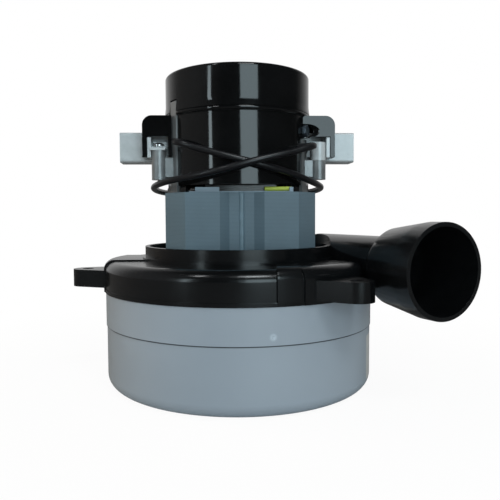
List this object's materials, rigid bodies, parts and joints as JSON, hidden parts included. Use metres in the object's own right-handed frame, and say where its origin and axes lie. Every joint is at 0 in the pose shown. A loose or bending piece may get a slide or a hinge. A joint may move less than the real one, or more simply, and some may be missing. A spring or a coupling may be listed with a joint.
{
  "type": "vacuum motor",
  "caption": "Bypass vacuum motor with stacked fans in a drum case, tangential discharge horn, mounting ears and an open field under a stepped cooling-fan cover.",
  "frame": {"origin": "centre of the air inlet on the fan case's underside, on the shaft", "axes": "+Z along the shaft towards the cooling fan, -Y the pictured front, +X towards the discharge horn"},
  "size_m": [0.2038, 0.1611, 0.1654],
  "materials": {
    "grey_shell": "satin",
    "aluminium_sheet": "satin",
    "plated_steel": "satin",
    "black_moulding": "gloss",
    "dark_seal": "matte",
    "bearing_steel": "satin",
    "polished_steel": "polished",
    "cage_brass": "satin",
    "blue_grey_paint": "satin",
    "copper_winding": "gloss",
    "grey_insulator": "matte",
    "yellow_tape": "matte",
    "core_steel": "satin",
    "commutator_copper": "satin",
    "cast_aluminium": "matte",
    "silver_housing": "satin",
    "terminal_brass": "satin",
    "carbon": "matte",
    "black_plastic": "satin",
    "gloss_black_cover": "gloss",
    "dark_screw": "satin",
    "black_lead": "matte"
  },
  "bodies": {
    "stator": {"lower_shell": "grey_shell", "upper_shell": "grey_shell", "stationary_fan": "aluminium_sheet", "fan_end_bracket": "black_moulding", "discharge_horn": "black_moulding", "air_seal": "dark_seal", "lower_bearing_outer": "bearing_steel", "bearing_retainer": "plated_steel", "retainer_screws": "plated_steel", "field_laminations": "blue_grey_paint", "field_coils": "copper_winding", "slot_insulators": "grey_insulator", "coil_tape": "yellow_tape", "through_bolts": "plated_steel", "commutator_bracket": "cast_aluminium", "upper_bearing_outer": "bearing_steel", "preload_washer": "plated_steel", "brush_housing_left": "silver_housing", "brush_housing_right": "silver_housing", "brush_sleeve_left": "terminal_brass", "brush_sleeve_right": "terminal_brass", "brush_spring_left": "plated_steel", "brush_spring_right": "plated_steel", "brush_terminal_left": "terminal_brass", "brush_terminal_right": "terminal_brass", "brush_clamp_left": "plated_steel", "brush_clamp_right": "plated_steel", "clamp_screws": "plated_steel", "vent_fan_cover": "gloss_black_cover", "cover_screws": "dark_screw", "lead_one": "black_lead", "lead_two": "black_lead", "lead_terminal_one": "terminal_brass", "lead_terminal_two": "terminal_brass"},
    "rotor": {"first_stage_fan": "aluminium_sheet", "second_stage_fan": "aluminium_sheet", "fan_nut": "plated_steel", "fan_washers": "plated_steel", "fan_spacers": "plated_steel", "lower_bearing_inner": "bearing_steel", "shaft": "bearing_steel", "armature_core": "core_steel", "armature_windings": "copper_winding", "commutator": "commutator_copper", "upper_bearing_inner": "bearing_steel", "vent_fan": "black_plastic", "vent_fan_nut": "plated_steel"},
    "lower_ball_set": {"lower_bearing_balls": "polished_steel", "lower_bearing_cage": "cage_brass"},
    "upper_ball_set": {"upper_bearing_balls": "polished_steel", "upper_bearing_cage": "cage_brass"},
    "left_brush": {"carbon_brush_left": "carbon"},
    "right_brush": {"carbon_brush_right": "carbon"}
  },
  "joints": [
    {"name": "rotor_spin", "type": "hinge", "parent": "stator", "child": "rotor", "pos_m": [0, 0, 0], "axis": [0, 0, 1], "continuous": true},
    {"name": "lower_balls_orbit", "type": "hinge", "parent": "stator", "child": "lower_ball_set", "pos_m": [0, 0, 0.0553], "axis": [0, 0, 1], "continuous": true},
    {"name": "upper_balls_orbit", "type": "hinge", "parent": "stator", "child": "upper_ball_set", "pos_m": [0, 0, 0.1445], "axis": [0, 0, 1], "continuous": true},
    {"name": "left_brush_slide", "type": "slide", "parent": "stator", "child": "left_brush", "axis": [-0.9986, -0.0523, 0], "range_m": [0, 0.01], "stiffness_N_per_m": 60, "springref_m": -0.03, "deforming": ["brush_spring_left"]},
    {"name": "right_brush_slide", "type": "slide", "parent": "stator", "child": "right_brush", "axis": [0.9986, 0.0523, 0], "range_m": [0, 0.01], "stiffness_N_per_m": 60, "springref_m": -0.03, "deforming": ["brush_spring_right"]}
  ],
  "couplings": [
    {"joint": "lower_balls_orbit", "follows": "rotor_spin", "ratio": 0.368},
    {"joint": "upper_balls_orbit", "follows": "rotor_spin", "ratio": 0.368}
  ]
}
